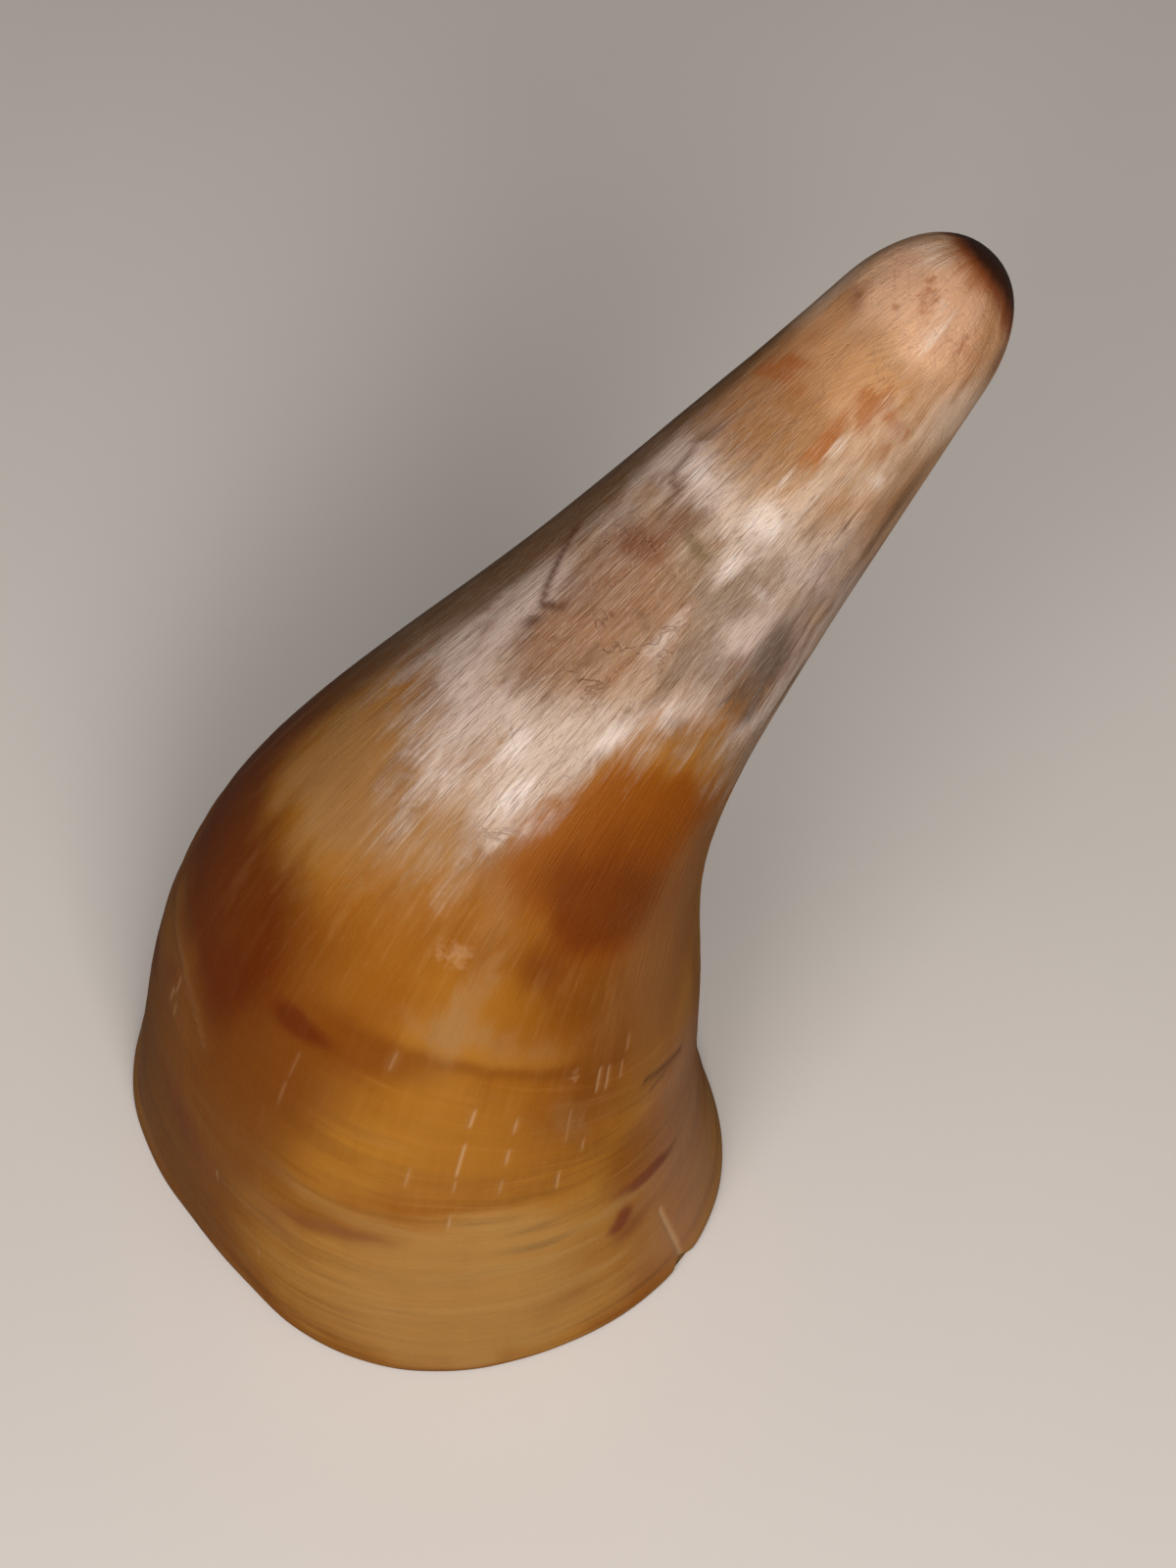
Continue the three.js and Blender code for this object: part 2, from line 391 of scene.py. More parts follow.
# Rows of millimetres up, degrees round, half height and half width in mm, weight, slant in degrees.
TONES = {
    "tan": [(20, -82, 14, 25, 1.0), (34, -78, 5, 18, 0.6), (8, -80, 6, 24, 0.6), (44, -88, 3, 12, 0.3)],
    "rose": [(46, -22, 13, 11, 0.8), (24, -22, 12, 13, 0.8), (8, -28, 8, 13, 0.6), (12, -172, 7, 9, 0.8),
             (58, -172, 3, 5, 0.3)],
    "russet": [(47, -142, 12, 17, 0.9), (30, -152, 14, 18, 0.9), (12, -152, 12, 18, 0.9),
               (30, -184, 22, 14, 0.9), (52, -124, 5, 10, 0.5), (38, -130, 7, 9, 0.4)],
    "straw": [(50, -84, 10, 20, 0.8), (64, -98, 9, 5, 0.8), (72, -134, 7, 8, 0.8), (106, -76, 3, 12, 0.8),
              (98, -101, 5, 3, 0.7), (63.5, -84, 2, 12, 0.6)],
    "honey": [(77, -116, 5, 8, 1.0), (71, -124, 6, 8, 0.8), (80, -127, 5, 6, 0.6), (76, -95, 3, 6, 0.8),
              (70, -75, 8, 15, 0.8), (84, -102, 7, 5, 0.8), (52, -75, 4, 14, 0.3)],
    "fawn": [(84, -147, 8, 16, 0.9), (84, -103, 5, 4, 0.6), (78, -156, 7, 10, 0.8), (86, -124, 5, 6, 0.7),
             (70, -97, 8, 2.6, 0.7), (65.5, -88, 2.5, 14, 0.5), (109, -72, 3, 10, 0.8),
             (104, -93, 4, 3, 0.5), (96, -107, 4, 2.5, 0.6), (104, -46, 4, 6, 0.6), (55, -60, 4, 9, 0.3)],
    "clay": [(84, -38, 10, 8, 0.9), (73, -38, 8, 10, 0.9), (62, -36, 7, 8, 0.6), (95, -36, 8, 6, 0.8)],
    "brown": [(59.5, -167, 8.5, 19, 1.0), (55, -150, 6, 8, 0.6), (82, -188, 9, 4, 0.5),
              (75, -198, 16, 12, 0.8), (58.9, -128, 1.5, 3.0, 0.9), (58.6, -122, 1.3, 3.6, 0.6),
              (68, -174, 5, 9, 0.5), (66, -12, 14, 4, 0.4), (65, -145, 8, 7, 0.6)],
    "umber": [(56, -133, 12, 11, 0.7), (70, -130, 6, 9, 0.35), (76, -108, 3, 6, 0.35),
              (45, -142, 7, 8, 0.5), (56, -61, 6, 8, 0.6), (60, -120, 3.5, 12, 0.7),
              (60, -106, 2.5, 9, 0.5), (47, -124, 8, 7, 0.4), (66, -138, 5, 7, 0.6),
              (61.8, -82, 1.1, 17, 0.6), (45, -82, 1.5, 14, 0.3), (34, -111, 4, 14, 0.55),
              (25, -117, 3, 8, 0.3), (14, -60, 4, 7, 0.4), (74, -62, 7, 11, 1.0), (64, -56, 6, 9, 0.7),
              (75, -80, 2.5, 8, 0.5)],
    "orange": [(90, -82, 10, 13), (97, -68, 8, 12, 0.7), (87, -64, 9, 13, 0.9), (87, -97, 6, 4, 0.3),
               (92, -48, 8, 7, 0.6)],
    "ember": [(85, -83, 5.5, 9, 0.95), (86, -66, 7, 9, 0.9), (95, -79, 5, 7, 0.4), (85, -47, 7, 6, 0.5),
              (76, -84, 3, 5, 0.6)],
    "rosy": [(31.5, -114, 2.0, 8, 0.6, 4), (33, -101, 1.2, 6, 0.7), (27, -122, 3, 6, 0.4),
             (29, -152, 6, 8, 0.8), (21, -44, 2.0, 3.5, 0.6), (40, -105, 3, 8, 0.3), (24, -40, 5, 6, 0.4),
             (44, -165, 6, 7, 0.5), (14, -30, 4, 6, 0.3)],
    "plum": [(30.4, -36, 1.8, 8.0, 1.0, -12), (24.4, -46.5, 2.0, 2.4, 0.9),
             (26.5, -44.5, 1.4, 2.4, 0.6, -50), (46, -166, 2.6, 4.0, 0.5, 30), (40, -178, 3, 4, 0.6),
             (9, -180, 4, 4, 0.5)],
    "olive": [(30, -65, 1.2, 8, 0.7), (34, -66, 0.8, 5, 0.7), (37.5, -76, 0.8, 8, 0.6),
              (26, -74, 1.5, 10, 0.4), (18, -92, 1.0, 12, 0.35), (12, -100, 1.2, 10, 0.35),
              (22, -108, 0.9, 8, 0.4)],
    "blot": [(129.6, -125, 1.2, 3.2, 1.0), (133, -152, 0.8, 1.6, 0.5)],
    # The next rows darken the left and right edges and the back: partly the horn's own darker colour,
    # partly painted shading where the sides turn from the lights.
    "dark_edge_and_painted_shade": [(100, -190, 22, 8, 0.9), (125, -190, 16, 6, 0.9), (145, -192, 12, 4, 0.8),
              (110, -215, 40, 14, 0.6), (147, -44, 12, 2.2, 0.6)],
    "smoke": [(133, -98, 5, 4, 0.7), (115, -62, 4, 4, 0.7), (121, -98, 8, 7, 1.0), (125, -104, 5, 5, 0.6),
              (141, -90, 6, 10, 0.4), (134, -60, 8, 5, 0.5), (110, -173, 12, 4, 0.6),
              (125, -172, 8, 4, 0.4), (154, -66, 6, 5, 0.4), (128, -132, 6, 5, 0.6),
              (104, -128, 5, 4, 0.5)],
    "cream": [(98, -138, 4, 12, 0.9), (89, -131, 4, 6, 0.7), (92, -144, 3, 4, 0.6), (92, -110, 3, 3, 0.7),
              (94, -117, 5, 7, 0.9), (102, -118, 5, 4, 0.6), (105, -102, 4, 4, 0.8), (109, -92, 3, 4, 0.6),
              (136, -160, 3, 7, 0.8), (137, -114, 4, 4, 0.8), (131, -111, 4, 2, 0.7),
              (132, -168, 6, 3, 0.6), (113, -84, 3, 5, 0.7), (114, -52, 4, 5, 0.7), (123, -86, 3, 4, 0.7),
              (136, -82, 4, 7, 0.7), (126, -79, 5, 4, 0.8), (150, -76, 3, 5, 0.8), (160, -54, 5, 6, 0.8),
              (108, -162, 9, 3, 0.7), (122, -44, 9, 4, 0.7), (145, -102, 7, 2, 0.8), (142, -70, 4, 5, 0.5),
              (118, -112, 6, 1.6, 0.6), (104, -155, 6, 2, 0.6), (156, -84, 3, 3, 0.2),
              (162, -184, 8, 3, 0.9), (163, -42, 6, 4, 0.6), (135, -38, 5, 4, 0.5), (135, -140, 3, 4, 0.8),
              (114, -161, 4, 3, 0.5), (156, -102, 4, 4, 0.4)],
    # These rows are partly pale fibres and partly painted highlights: glints on the tip's dome and sheen
    # along the front ridge.
    "pale_and_painted_glint": [(175, -156, 2.5, 4, 0.5), (89.5, -135, 2.5, 2.5, 0.5), (168, -107, 4, 1.6, 0.5),
              (172, -118, 1.5, 2, 0.4), (137, -112, 3, 2.2, 0.9, 20), (97, -125, 3, 2, 0.7),
              (93, -115, 3, 2, 0.8), (104, -104, 3, 1.4, 0.7), (136, -146, 1.5, 3, 0.6),
              (129, -172, 2, 1.5, 0.6), (110, -92, 2, 1.6, 0.7), (150, -75, 1.5, 2, 0.6),
              (150, -108, 3, 0.9, 0.6), (143, -116, 3, 0.9, 0.5), (130, -92, 1.2, 3, 0.4),
              (130, -110, 3, 1.0, 0.7)],
    "wash": [(113, -130, 9, 9, 0.9), (122, -134, 6, 7, 0.7), (106, -138, 5, 6, 0.6), (120, -118, 5, 4, 0.6),
             (112, -162, 5, 3, 0.3)],
    "cracked": [(91, -113, 3.5, 5, 0.9), (97, -108, 3, 4, 0.5), (110, -130, 7, 8, 0.9),
                (124, -141, 4, 5, 0.8), (119, -117, 4, 5, 0.7), (104, -158, 4, 4, 0.4)],
    "stain": [(124, -142, 2.4, 3.4, 0.9, 15), (130, -138, 3, 2.6, 0.6, -20), (127, -143, 4, 3, 0.4),
              (165.3, -160, 0.8, 3.6, 0.8), (164, -154, 0.8, 1.6, 0.5), (103, -160, 2.5, 2.5, 0.5),
              (169, -34, 4, 2.4, 0.8), (88, -181, 3, 2.2, 0.4), (117, -124, 1.5, 2.4, 0.4),
              (110, -127, 1.5, 2, 0.5)],
    "grey": [(121, -65, 6, 3.2, 1.0), (116, -61, 3, 4, 0.9), (127, -68, 4, 3, 0.5),
             (113, -100, 4, 2.0, 0.5), (101, -126, 4, 1.8, 0.4), (110, -86, 1.4, 2, 0.5),
             (118, -152, 5, 1.6, 0.4), (105, -172, 5, 2, 0.5)],
    "earth": [(143, -158, 5, 8, 0.9), (147, -132, 4, 7, 0.8), (150, -122, 3, 4, 0.7), (148, -55, 6, 3, 0.7),
              (141, -62, 5, 3, 0.4), (153, -166, 5, 6, 0.9), (139, -174, 4, 3, 0.6),
              (165, -160, 2.5, 5, 0.8)],
    "sand": [(146, -118, 4, 6, 0.7), (163, -122, 3, 8, 0.5), (155, -96, 5, 4, 0.2), (149, -88, 4, 4, 0.4),
             (146, -40, 6, 4, 0.8), (157, -36, 6, 4, 0.4), (168, -40, 5, 4, 0.2), (126, -122, 5, 4, 0.5),
             (136, -98, 3, 4, 0.6), (136, -60, 4, 4, 0.5), (116, -118, 4, 4, 0.4), (137, -44, 6, 4, 0.2)],
    "apricot": [(160, -166, 5, 7, 0.7), (158, -140, 5, 9, 0.9), (152, -142, 4, 6, 0.7),
                (166, -80, 4, 6, 0.6), (172, -98, 4, 8, 0.7), (175, -80, 4, 7, 0.6), (157, -104, 4, 4, 0.5),
                (165, -104, 3, 5, 0.4)],
    "salmon": [(151.4, -161, 1.0, 3.6, 1.0, 30), (154.2, -157, 0.9, 3.2, 0.9, 30),
               (176.5, -112, 1.8, 5, 0.8), (157, -96, 0.9, 4.5, 0.9, -8), (158, -160, 1.6, 3, 0.4, 20),
               (150, -113.5, 4.5, 1.0, 1.0, 10), (155.5, -109, 2.6, 1.1, 1.0, 30),
               (159, -104, 2, 0.9, 0.6, 40), (152, -142, 1.4, 3, 0.4, 20), (154, -88, 2, 3, 0.4),
               (146, -117, 3, 0.8, 0.5), (167, -100, 1.2, 5, 0.4), (169, -75, 1.2, 5, 0.5),
               (166, -60, 1.2, 4, 0.4)],
    "pink": [(171, -116, 4, 9, 0.8), (167, -106, 4, 3, 0.5), (169, -135, 3, 7, 0.6), (173, -152, 3, 8, 1.0),
             (166, -146, 4, 6, 0.4), (165, -92, 4, 5, 0.6)],
}
for name, rows_of_patches in TONES.items():
    give(name, patches(rows_of_patches))

# Thin dark lines in the pale fibres, each with its width in mm and its strength, and blots at their ends.
HOOKS = [
    ([(119, -170), (115.5, -163), (112, -156), (110.3, -151.5), (111.8, -146.5)], 0.6, 1.0),
    ([(137.5, -158), (134, -156.5), (133, -152), (133.2, -149)], 0.5, 0.7),
    ([(112, -127), (109.5, -125.5), (108.5, -128), (107.5, -124)], 0.5, 0.6),
    ([(119, -124), (117.5, -117), (116.5, -112)], 0.45, 0.5),
]
HOOK_BLOTS = [(108.0, -150.0, 1.5, 0.8, 1.0, -25.0), (112.0, -146.3, 0.8, 0.8, 0.9, 0.0)]
hooks = 0.8 * gouge
for points, width, strength in HOOKS:
    hooks = np.maximum(hooks, strength * line(points, width))
for blot in HOOK_BLOTS:
    hooks = np.maximum(hooks, patch(*blot, feather=0.0))
give("hooks", hooks)

# The dark cap is a round spot on the dome, a little off the tip. Its middle and reach are in
# millimetres square to the centreline, and its edge fades over CAP_EDGE.
CAP_MIDDLE = (2.1, 1.1)
CAP_REACH = 8.9
CAP_EDGE = 3.4
from_cap = np.hypot(radius * COS - CAP_MIDDLE[0], radius * SIN - CAP_MIDDLE[1]) + 0.25 * SWAY
give("cap", np.clip((CAP_REACH - from_cap) / CAP_EDGE, 0, 1) * OUTSIDE * smoothstep(UP, 160.0, 166.0))
give("pores", patches([(s, d, 0.8 * size, 0.9 * size, 1.0) for s, d, size in PORES], feather=0.1))

# The skin's own map: distance round it and up it, in tenths of a metre, for hatching at a slant.
UV_MM = 100.0
skin = mesh.uv_layers.new(name="skin")
arc = (DEGREES + 90.0) * DEGREE_MM
arc = np.concatenate([arc, arc[:, :1] + 360.0 * DEGREE_MM[:, :1]], 1)
corner_row = np.repeat(np.arange(rows - 1), columns)
corner_column = np.tile(np.arange(columns), rows - 1)
u = np.stack([arc[corner_row, corner_column], arc[corner_row, corner_column + 1],
              arc[corner_row + 1, corner_column + 1], arc[corner_row + 1, corner_column]], -1)
v = np.stack([along_mm[corner_row], along_mm[corner_row],
              along_mm[corner_row + 1], along_mm[corner_row + 1]], -1)
uv = np.zeros((len(mesh.loops), 2), np.float32)
uv[:u.size, 0] = u.ravel() / UV_MM
uv[:v.size, 1] = v.ravel() / UV_MM
skin.data.foreach_set("uv", uv.ravel())

horn = bpy.data.objects.new("horn_skin", mesh)
bpy.context.scene.collection.objects.link(horn)


# ---- the material ----
class Net:
    """Short calls that add shader nodes to a material and link them."""

    def __init__(self, name):
        self.material = bpy.data.materials.new(name)
        self.material.use_nodes = True
        self.tree = self.material.node_tree
        self.surface = self.tree.nodes["Principled BSDF"]

    def put(self, socket, value):
        if isinstance(value, bpy.types.NodeSocket):
            self.tree.links.new(value, socket)
        else:
            socket.default_value = value

    def node(self, kind, output, inputs, **settings):
        made = self.tree.nodes.new(kind)
        for key, value in settings.items():
            setattr(made, key, value)
        for key, value in inputs.items():
            self.put(made.inputs[key], value)
        return made.outputs[output]

    def attribute(self, name, output="Fac"):
        return self.node("ShaderNodeAttribute", output, {}, attribute_name=name)

    def math(self, operation, a, b=0.0, clamp=False):
        return self.node("ShaderNodeMath", 0, {0: a, 1: b}, operation=operation, use_clamp=clamp)

    def times(self, a, b):
        return self.math("MULTIPLY", a, b)

    def plus(self, a, b):
        return self.math("ADD", a, b)

    def minus(self, a, b):
        return self.math("SUBTRACT", a, b)

    def add_vectors(self, a, b):
        return self.node("ShaderNodeVectorMath", 0, {0: a, 1: b}, operation="ADD")

    def step(self, value, low, high, to_low=0.0, to_high=1.0):
        inputs = {"Value": value, "From Min": low, "From Max": high, "To Min": to_low, "To Max": to_high}
        return self.node("ShaderNodeMapRange", "Result", inputs, interpolation_type="SMOOTHSTEP")

    def thread(self, value, width):
        """A thin line wherever a noise passes through its middle value."""
        away = self.math("ABSOLUTE", self.minus(value, 0.5))
        return self.step(away, width, 0.0)

    def mix(self, share, a, b):
        made = self.tree.nodes.new("ShaderNodeMix")
        made.data_type = "RGBA"
        for key, value in ((0, share), (6, a), (7, b)):
            self.put(made.inputs[key], value)
        return made.outputs[2]

    def stretched(self, vector, scale, turn=0.0):
        if turn:
            inputs = {"Vector": vector, "Rotation": (0.0, 0.0, radians(turn))}
            vector = self.node("ShaderNodeMapping", 0, inputs)
        return self.node("ShaderNodeMapping", 0, {"Vector": vector, "Scale": scale})

    def noise(self, vector, scale=1.0, detail=2.0, roughness=0.5, distortion=0.0):
        inputs = {"Vector": vector, "Scale": scale, "Detail": detail, "Roughness": roughness,
                  "Distortion": distortion}
        return self.node("ShaderNodeTexNoise", "Fac", inputs)


def rgb(r, g, b):
    """A display colour, 0 to 255, as linear light."""
    parts = [c / 255 for c in (r, g, b)]
    return tuple(c / 12.92 if c <= 0.04045 else ((c + 0.055) / 1.055) ** 2.4 for c in parts) + (1.0,)


net = Net("horn_material")
grain_at = net.attribute("grain", "Vector")
along = net.attribute("along")
here = net.node("ShaderNodeTexCoord", "Object", {})
skin_at = net.node("ShaderNodeUVMap", 0, {}, uv_map="skin")

# Noises that run along the fibres, from the finest to the broadest.
fine = net.noise(net.stretched(grain_at, (4.0, 4.0, 0.2)), 1.0, 2.0, 0.6)
fibres = net.noise(net.stretched(grain_at, (1.3, 1.3, 0.13)), 1.0, 3.0, 0.6)
streaks = net.noise(net.stretched(grain_at, (0.3, 0.3, 0.07)), 1.0, 3.0, 0.6)
mottle = net.noise(net.stretched(grain_at, (0.24, 0.24, 0.15)), 1.0, 4.0, 0.65, 0.8)
# Noises that run no way in particular.
grit = net.noise(here, 1000.0, 2.0)
blotch = net.noise(here, 130.0, 3.0, 0.6)
cloud = net.noise(here, 45.0, 2.0, 0.55)
# Short rubbing marks and hair scratches, at a slant to the fibres.
hatch = net.noise(net.stretched(skin_at, (420, 48, 1), 11), 1.0, 2.0)
crosshatch = net.noise(net.stretched(skin_at, (300, 60, 1), -32), 1.0, 2.0)
hairs = net.thread(net.noise(net.stretched(skin_at, (190, 11, 1), 27), 1.0, 1.0), 0.010)
crosshairs = net.thread(net.noise(net.stretched(skin_at, (150, 9, 1), -48), 1.0, 1.0), 0.008)
band_at = net.node("ShaderNodeCombineXYZ", 0, {"Z": net.attribute("band")})


def growth_bands(change_round, change_up, roughness):
    """A noise in bands across the horn, which hardly changes round it."""
    round_at = net.stretched(grain_at, (change_round, change_round, 0.0))
    up_at = net.stretched(band_at, (1.0, 1.0, change_up))
    return net.noise(net.add_vectors(round_at, up_at), 1.0, 3.0, roughness)


band_tone = growth_bands(0.03, 0.18, 0.65)
band_line = growth_bands(0.045, 0.7, 0.6)
in_lines = net.step(along, 66.0, 58.0)


def fleck(colour, value, low, high, strength, paint, within=None):
    """Paints where a noise passes from low to high, all over or within a mask."""
    where = net.step(value, low, high)
    if within is not None:
        where = net.times(where, within)
    return net.mix(net.times(where, strength), colour, rgb(*paint))


def mark(colour, where, strength, paint):
    return net.mix(net.times(where, strength), colour, rgb(*paint))


def tone(colour, name, paint, strength, breaking, reach, low, high):
    """Paints a tone where its attribute passes from low to high, with its edge broken up by a noise."""
    amount = net.attribute(name)
    wear = net.times(net.minus(breaking, 0.5), reach)
    wear = net.times(wear, net.math("MULTIPLY", amount, 3.0, clamp=True))
    where = net.step(net.plus(amount, wear), low, high)
    return net.mix(net.times(where, strength), colour, rgb(*paint))


def tones(colour, rows):
    """Each row is an attribute, its display colour and strength, the noise that breaks its edge and how
    far, and the amounts at which it starts and is full."""
    for row in rows:
        colour = tone(colour, *row)
    return colour


def amber_root():
    """Growth bands across the root, clouds of darker honey within, and brown and rose patches at its sides.
    """
    colour = net.mix(net.step(cloud, 0.36, 0.66), rgb(136, 74, 0), rgb(158, 102, 26))
    below = net.step(along, 66.0, 40.0)
    colour = fleck(colour, band_tone, 0.5, 0.66, 0.55, (164, 120, 64), below)
    colour = fleck(colour, band_tone, 0.48, 0.34, 0.5, (110, 60, 8), below)
    colour = fleck(colour, band_line, 0.53, 0.68, 0.24, (98, 56, 16), in_lines)
    colour = fleck(colour, band_line, 0.46, 0.32, 0.22, (184, 132, 70), in_lines)
    colour = tones(colour, [
        ("tan", (168, 124, 66), 0.75, band_tone, 0.6, 0.0, 0.9),
        ("rose", (154, 108, 76), 0.85, cloud, 0.3, 0.0, 0.9),
        ("russet", (120, 68, 20), 0.85, band_tone, 0.4, 0.0, 1.0),
        ("straw", (164, 108, 34), 0.7, fibres, 0.5, 0.0, 0.95),
        ("honey", (138, 76, 0), 0.75, fibres, 0.4, 0.0, 1.0),
        ("umber", (110, 52, 0), 0.75, cloud, 0.4, 0.0, 1.0),
        ("brown", (92, 30, 0), 0.9, cloud, 0.4, 0.0, 1.0),
        ("fawn", (150, 108, 66), 0.8, mottle, 1.4, 0.0, 1.0),
    ])
    standing = net.step(along, 56.0, 80.0, 0.15, 1.0)
    colour = fleck(colour, streaks, 0.5, 0.7, 0.28, (168, 122, 68), standing)
    colour = fleck(colour, streaks, 0.48, 0.3, 0.25, (104, 58, 12), standing)
    colour = fleck(colour, fibres, 0.52, 0.7, 0.11, (176, 130, 78), standing)
    colour = fleck(colour, fibres, 0.47, 0.3, 0.14, (104, 60, 16), standing)
    colour = fleck(colour, hatch, 0.56, 0.72, 0.10, (184, 140, 90), standing)
    return tones(colour, [
        ("orange", (130, 64, 0), 0.95, fibres, 0.5, 0.05, 0.85),
        ("ember", (100, 40, 0), 0.85, fibres, 0.5, 0.05, 1.1),
        ("clay", (134, 84, 42), 0.8, fibres, 0.5, 0.0, 0.95),
        ("rosy", (116, 58, 32), 0.6, band_tone, 0.5, 0.05, 0.95),
        ("plum", (108, 40, 26), 0.75, blotch, 0.4, 0.1, 0.8),
        ("olive", (104, 80, 46), 0.5, band_line, 0.8, 0.15, 0.9),
        ("dent", (172, 130, 92), 0.5, grit, 2.4, 0.1, 1.2),
    ])


def pale_middle():
    """Grey, mauve and cream fibres."""
    colour = net.mix(net.step(streaks, 0.38, 0.6), rgb(126, 96, 78), rgb(164, 140, 124))
    colour = fleck(colour, mottle, 0.5, 0.68, 0.5, (174, 152, 138))
    colour = fleck(colour, mottle, 0.48, 0.32, 0.5, (112, 84, 68))
    colour = fleck(colour, blotch, 0.48, 0.66, 0.4, (172, 132, 96))
    colour = fleck(colour, blotch, 0.48, 0.34, 0.4, (142, 116, 110))
    colour = fleck(colour, fibres, 0.50, 0.72, 0.4, (190, 168, 150))
    colour = fleck(colour, fibres, 0.47, 0.30, 0.4, (98, 70, 50))
    return tones(colour, [
        ("smoke", (128, 108, 94), 0.7, mottle, 1.6, 0.1, 0.9),
        ("wash", (130, 86, 60), 0.75, mottle, 1.8, 0.1, 1.0),
        ("sand", (134, 104, 82), 0.7, mottle, 1.6, 0.1, 0.9),
        ("cream", (196, 174, 162), 0.75, mottle, 1.7, 0.1, 1.0),
        ("grey", (82, 64, 54), 0.8, mottle, 1.2, 0.1, 1.0),
        ("stain", (108, 58, 36), 0.75, fine, 1.0, 0.2, 1.0),
        ("blot", (96, 74, 48), 0.7, fine, 0.8, 0.15, 0.9),
        # Partly pale fibres, partly painted sheen along the front ridge.
        ("pale_and_painted_glint", (216, 200, 192), 0.8, fibres, 1.4, 0.1, 0.8),
    ])


def peach_tip():
    """Peach, tan and cream, with rust smears and pores."""
    colour = net.mix(net.step(mottle, 0.32, 0.66), rgb(160, 118, 82), rgb(188, 148, 116))
    colour = fleck(colour, cloud, 0.42, 0.66, 0.5, (176, 130, 90))
    colour = fleck(colour, blotch, 0.5, 0.72, 0.3, (160, 98, 56))
    colour = fleck(colour, streaks, 0.5, 0.7, 0.25, (196, 164, 138))
    return tones(colour, [
        ("apricot", (174, 120, 78), 0.7, cloud, 1.2, 0.1, 1.0),
        ("sand", (140, 108, 82), 0.75, mottle, 1.0, 0.1, 0.9),
        ("earth", (142, 92, 50), 0.75, mottle, 1.2, 0.1, 0.9),
        ("smoke", (150, 128, 108), 0.6, fibres, 0.9, 0.1, 0.9),
        ("salmon", (150, 84, 40), 0.85, fibres, 1.5, 0.15, 0.75),
        ("cream", (200, 172, 150), 0.7, mottle, 1.2, 0.1, 1.0),
        ("stain", (112, 60, 34), 0.75, fine, 1.0, 0.2, 1.0),
        ("pink", (208, 162, 132), 0.75, mottle, 1.0, 0.0, 1.1),
        ("pores", (150, 84, 46), 0.6, grit, 2.4, 0.1, 1.1),
        # Partly pale fibres, partly painted glints on the dome.
        ("pale_and_painted_glint", (216, 196, 180), 0.7, fibres, 1.1, 0.2, 0.7),
    ])


# Where the pale fibres take over from the root, and the tip from the fibres, along the streaks.
feathered = net.plus(net.times(net.minus(fibres, 0.5), 1.3), net.times(net.minus(mottle, 0.5), 1.6))
past = net.step(net.plus(net.attribute("past_edge"), feathered), -0.85, 0.95)
uneven = net.plus(net.times(net.minus(streaks, 0.5), 30.0), net.times(feathered, 3.0))
upward = net.step(net.plus(along, uneven), 132.0, 148.0)
colour = net.mix(past, amber_root(), net.mix(upward, pale_middle(), peach_tip()))
# Dark brown on the edges and the back, partly the horn's own colour and partly painted shading where the
# sides turn from the lights.
colour = tone(colour, "dark_edge_and_painted_shade", (102, 66, 30), 0.85, fibres, 0.6, 0.1, 0.8)

# Fine threads of the fibres, cracks, rubbing marks and hair scratches.
pale_part = net.times(past, net.step(along, 160.0, 138.0, 0.35, 1.0))
colour = fleck(colour, fine, 0.54, 0.70, 0.26, (204, 186, 172), pale_part)
colour = fleck(colour, fine, 0.47, 0.32, 0.48, (88, 60, 42), pale_part)
cracks = net.thread(net.noise(here, 130.0, 4.0, 0.6, 1.0), 0.018)
cracks = net.times(cracks, net.times(net.attribute("cracked"), net.step(mottle, 0.46, 0.6)))
cracks = net.times(cracks, past)
colour = mark(colour, cracks, 0.55, (106, 54, 28))
hatched = net.times(pale_part, net.step(mottle, 0.3, 0.6, 0.3, 1.0))
colour = fleck(colour, hatch, 0.56, 0.72, 0.2, (204, 184, 170), hatched)
colour = fleck(colour, hatch, 0.45, 0.30, 0.45, (94, 60, 40), hatched)
colour = fleck(colour, crosshatch, 0.58, 0.74, 0.2, (204, 178, 156), hatched)
scuffed = net.times(net.step(cloud, 0.42, 0.6), net.step(along, 74.0, 100.0))
scratches = net.times(hairs, scuffed)
colour = mark(colour, scratches, 0.14, (206, 180, 152))
colour = mark(colour, net.times(crosshairs, scuffed), 0.25, (100, 66, 44))

# The drawn marks, the cap with its rusty edge, the foot, and the inside of the hollow.
colour = mark(colour, net.attribute("hooks"), 0.85, (80, 44, 30))
colour = mark(colour, net.attribute("crease"), 0.55, (190, 154, 116))
colour = tone(colour, "cap", (124, 62, 28), 0.95, blotch, 0.6, 0.0, 0.5)
colour = tone(colour, "cap", (46, 19, 9), 0.95, blotch, 0.8, 0.35, 0.95)
colour = fleck(colour, along, 2.0, 0.2, 0.5, (90, 60, 30))
inside = net.attribute("inside")
colour = net.mix(inside, colour, net.mix(streaks, rgb(96, 64, 36), rgb(140, 100, 62)))
net.put(net.surface.inputs["Base Color"], colour)

# The polish is uneven, best at the tip and dull inside.
dullness = net.step(blotch, 0.3, 0.7, 0.42, 0.54)
dullness = net.minus(dullness, net.times(net.step(along, 150.0, 168.0), 0.18))
dullness = net.plus(dullness, net.times(inside, 0.3))
net.put(net.surface.inputs["Roughness"], dullness)
net.surface.inputs["IOR"].default_value = 1.45
net.surface.inputs["Specular Tint"].default_value = (1.0, 0.74, 0.34, 1.0)
net.surface.inputs["Subsurface Weight"].default_value = 0.12
net.surface.inputs["Subsurface Radius"].default_value = (1.0, 0.4, 0.1)
net.surface.inputs["Subsurface Scale"].default_value = 0.004

